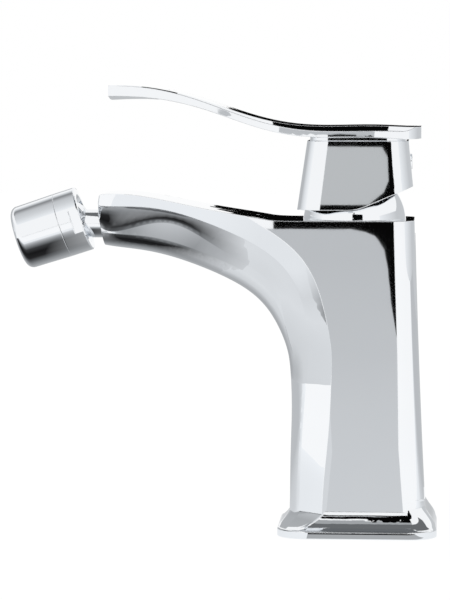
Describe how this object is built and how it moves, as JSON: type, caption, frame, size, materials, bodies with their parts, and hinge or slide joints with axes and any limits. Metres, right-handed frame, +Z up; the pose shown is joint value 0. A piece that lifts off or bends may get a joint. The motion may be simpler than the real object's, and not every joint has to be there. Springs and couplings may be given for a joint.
{
  "type": "bidet mixer",
  "caption": "Single-lever bidet mixer: square column with a faceted curved spout, swivel ball nozzle and a long curved blade lever on a domed cartridge.",
  "frame": {"origin": "centre of the foot's underside, on the deck", "axes": "+Z up from the deck, the spout and the lever reach along -X, +Y is the hot side"},
  "size_m": [0.1491, 0.049, 0.155],
  "materials": {
    "chrome": "polished",
    "brass": "machined",
    "steel": "satin",
    "rubber": "matte",
    "plastic": "matte",
    "ceramic": "lapped"
  },
  "bodies": {
    "mixer_body": {"body": "chrome", "base_gasket": "rubber", "cartridge_housing": "plastic", "cartridge_base": "plastic", "port_seals": "rubber", "disc_seals": "rubber", "fixed_disc": "ceramic", "retaining_nut": "brass", "dome_cap": "chrome", "ball_nipple": "chrome", "nipple_ring": "rubber"},
    "turret": {"rotating_sleeve": "plastic", "pivot_pin": "steel"},
    "lever": {"stem": "steel", "lever_handle": "chrome", "handle_screw": "steel", "screw_plug": "chrome"},
    "valve": {"moving_disc": "ceramic", "disc_carrier": "plastic"},
    "swivel_ring": {"slip_ring": "plastic"},
    "swivel_seal": {"ball_seal": "rubber"},
    "nozzle": {"swivel_nut": "chrome", "nozzle_shell": "chrome", "aerator_gasket": "rubber", "aerator_housing": "plastic", "flow_regulator": "plastic", "aerator_screen": "plastic"}
  },
  "joints": [
    {"name": "temperature_turn", "type": "hinge", "parent": "mixer_body", "child": "turret", "pos_m": [-0.0015, 0, 0.108], "axis": [0, 0, 1], "range_deg": [-45, 45]},
    {"name": "lever_lift", "type": "hinge", "parent": "turret", "child": "lever", "pos_m": [-0.0015, 0, 0.108], "axis": [0, 1, 0], "range_deg": [0, 25]},
    {"name": "disc_slide", "type": "slide", "parent": "turret", "child": "valve", "axis": [-1, 0, 0], "range_m": [0, 0.00465]},
    {"name": "nozzle_pitch", "type": "hinge", "parent": "mixer_body", "child": "swivel_ring", "pos_m": [-0.1018, 0, 0.1068], "axis": [0, 1, 0], "range_deg": [-2, 36]},
    {"name": "nozzle_yaw", "type": "hinge", "parent": "swivel_ring", "child": "swivel_seal", "pos_m": [-0.1018, 0, 0.1068], "axis": [-0.309, 0, 0.9511], "range_deg": [-12, 12]},
    {"name": "nozzle_spin", "type": "hinge", "parent": "swivel_seal", "child": "nozzle", "pos_m": [-0.1018, 0, 0.1068], "axis": [-0.9511, 0, -0.309], "continuous": true}
  ],
  "couplings": [
    {"joint": "disc_slide", "follows": "lever_lift", "m_per_rad": 0.01065}
  ]
}
